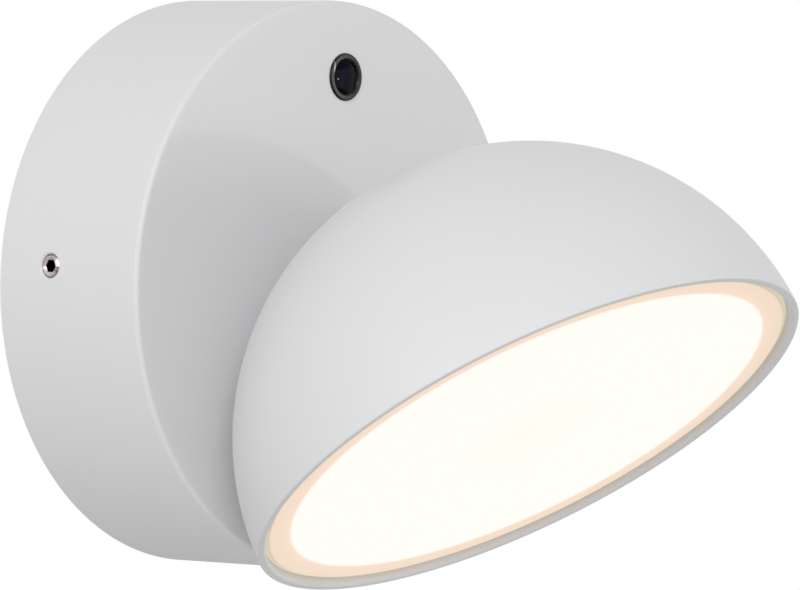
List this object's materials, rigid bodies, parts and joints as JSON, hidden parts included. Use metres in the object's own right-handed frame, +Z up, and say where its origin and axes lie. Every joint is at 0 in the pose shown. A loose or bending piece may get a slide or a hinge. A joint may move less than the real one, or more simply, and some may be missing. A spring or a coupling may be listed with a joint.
{
  "type": "pivoting wall spotlight",
  "caption": "Round drum wall light with a half-ball lamp head that tilts and turns in it, an opal disc diffuser, and a daylight sensor.",
  "frame": {"origin": "middle of the drum's back on the wall plane, midway between the wall bracket's two slots", "axes": "+Z up, +Y into the wall, -Y out into the room; the head points down and out towards -Y"},
  "size_m": [0.1214, 0.1438, 0.1247],
  "materials": {
    "white_powder_coat": "smooth matt powder coat",
    "black_rubber": "matt",
    "stainless_steel": "machined",
    "zinc_plated_steel": "zinc plated",
    "black_plastic": "satin",
    "dark_lens": "polished",
    "green_board": "solder mask",
    "grey_sheath": "smooth",
    "white_plastic": "fine moulded grain",
    "grey_plastic": "fine moulded grain",
    "ivory_plastic": "moulded",
    "brass_clamps": "machined",
    "blue_sheath": "smooth",
    "brown_sheath": "smooth",
    "green_yellow_sheath": "striped",
    "cast_aluminium": "as cast",
    "liner_plastic": "self-lubricating",
    "white_board": "white solder mask",
    "yellow_phosphor": "resin",
    "white_reflector": "moulded",
    "clear_silicone": "translucent",
    "opal_diffuser": "opal"
  },
  "bodies": {
    "base": {"wall_bracket": "zinc_plated_steel", "rim_gasket": "black_rubber", "cable_grommet": "black_rubber", "base_housing": "white_powder_coat", "set_screws": "stainless_steel", "sensor_bezel": "black_plastic", "sensor_lens": "dark_lens", "sensor_seal": "black_rubber", "sensor_nut": "black_plastic", "sensor_board": "green_board", "sensor_lead": "grey_sheath", "driver_case": "white_plastic", "driver_lid": "grey_plastic", "driver_screws": "stainless_steel", "lamp_socket": "white_plastic", "terminal_block": "ivory_plastic", "terminal_screws": "brass_clamps", "terminal_fixings": "stainless_steel", "earth_tag": "brass_clamps", "earth_screw": "stainless_steel", "neutral_lead": "blue_sheath", "live_lead": "brown_sheath", "earth_lead": "green_yellow_sheath", "flange_seal": "black_rubber", "keeper_ring": "zinc_plated_steel", "keeper_screws": "stainless_steel"},
    "swivel": {"swivel_seat": "cast_aluminium", "seat_liner": "liner_plastic"},
    "head": {"head_shell": "white_powder_coat", "swivel_stem": "zinc_plated_steel", "slide_shoe": "zinc_plated_steel", "disc_spring": "stainless_steel", "stem_nut": "stainless_steel", "head_lead": "grey_sheath", "led_carrier": "cast_aluminium", "carrier_screws": "stainless_steel", "led_board": "white_board", "board_screws": "stainless_steel", "led_chips": "yellow_phosphor", "reflector": "white_reflector", "diffuser_gasket": "clear_silicone", "diffuser": "opal_diffuser", "lead_gland": "black_rubber"}
  },
  "joints": [
    {"name": "head_turn", "type": "hinge", "parent": "base", "child": "swivel", "pos_m": [0, -0.09375, -0.0299], "axis": [0, 1, 0], "range_deg": [-161.6, 168.4]},
    {"name": "head_tilt", "type": "hinge", "parent": "swivel", "child": "head", "pos_m": [0, -0.09375, -0.0299], "axis": [0.9982, 0, 0.0593], "range_deg": [-24.9, 3.1]}
  ]
}
